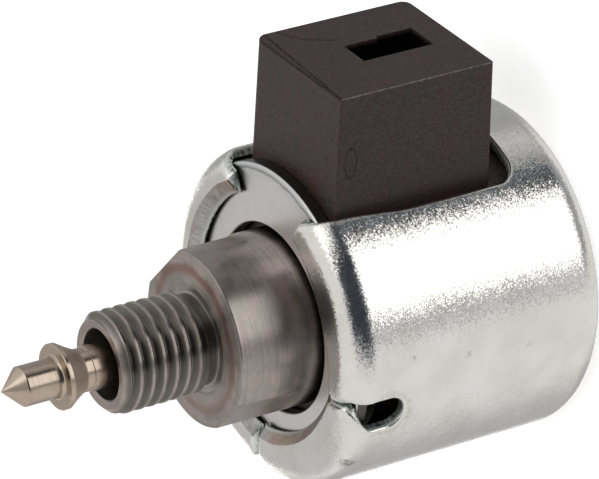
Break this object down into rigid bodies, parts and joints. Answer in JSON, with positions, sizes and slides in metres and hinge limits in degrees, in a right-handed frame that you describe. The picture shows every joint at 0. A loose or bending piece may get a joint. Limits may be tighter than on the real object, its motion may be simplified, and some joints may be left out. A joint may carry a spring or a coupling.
{
  "type": "fuel shutoff solenoid",
  "caption": "Steel-cased coil with a moulded plug-in terminal block and a threaded nose; a sprung needle closes a carburettor jet when power is off.",
  "frame": {"origin": "centre of the can's closed back, on the plunger axis", "axes": "+Z out along the needle and thread, +X towards the connector block"},
  "size_m": [0.0418, 0.0324, 0.0558],
  "materials": {
    "zinc_plated_steel": "bright zinc plate, slightly grained",
    "machined_steel": "turned steel, dull",
    "stainless_steel": "fine turned stainless",
    "soft_iron": "turned soft iron",
    "spring_steel": "spring steel",
    "brass_sheet": "drawn brass",
    "seal_rubber": "black seal rubber",
    "bobbin_nylon": "moulded nylon",
    "enamelled_copper": "enamelled copper wire",
    "coil_tape": "yellow winding tape",
    "moulded_phenolic": "fine grained brown-grey moulding",
    "tinned_brass": "tinned brass sheet"
  },
  "bodies": {
    "housing": {"housing_can": "zinc_plated_steel", "front_plate": "zinc_plated_steel", "nose_body": "machined_steel", "return_spring": "spring_steel", "fixed_core": "soft_iron", "core_bumper": "brass_sheet", "core_o_ring": "seal_rubber", "guide_sleeve": "brass_sheet", "bobbin": "bobbin_nylon", "coil_winding": "enamelled_copper", "coil_tape": "coil_tape", "connector_block": "moulded_phenolic", "terminal_receptacle": "tinned_brass", "lead_live": "enamelled_copper", "lead_ground": "enamelled_copper", "ground_tab": "tinned_brass", "nose_o_ring": "seal_rubber", "wave_washer": "spring_steel"},
    "plunger": {"needle_plunger": "stainless_steel", "armature": "soft_iron"}
  },
  "joints": [
    {"name": "plunger_slide", "type": "slide", "parent": "housing", "child": "plunger", "axis": [0, 0, -1], "range_m": [0, 0.0028], "stiffness_N_per_m": 400, "springref_m": -0.004, "deforming": ["return_spring"]}
  ]
}
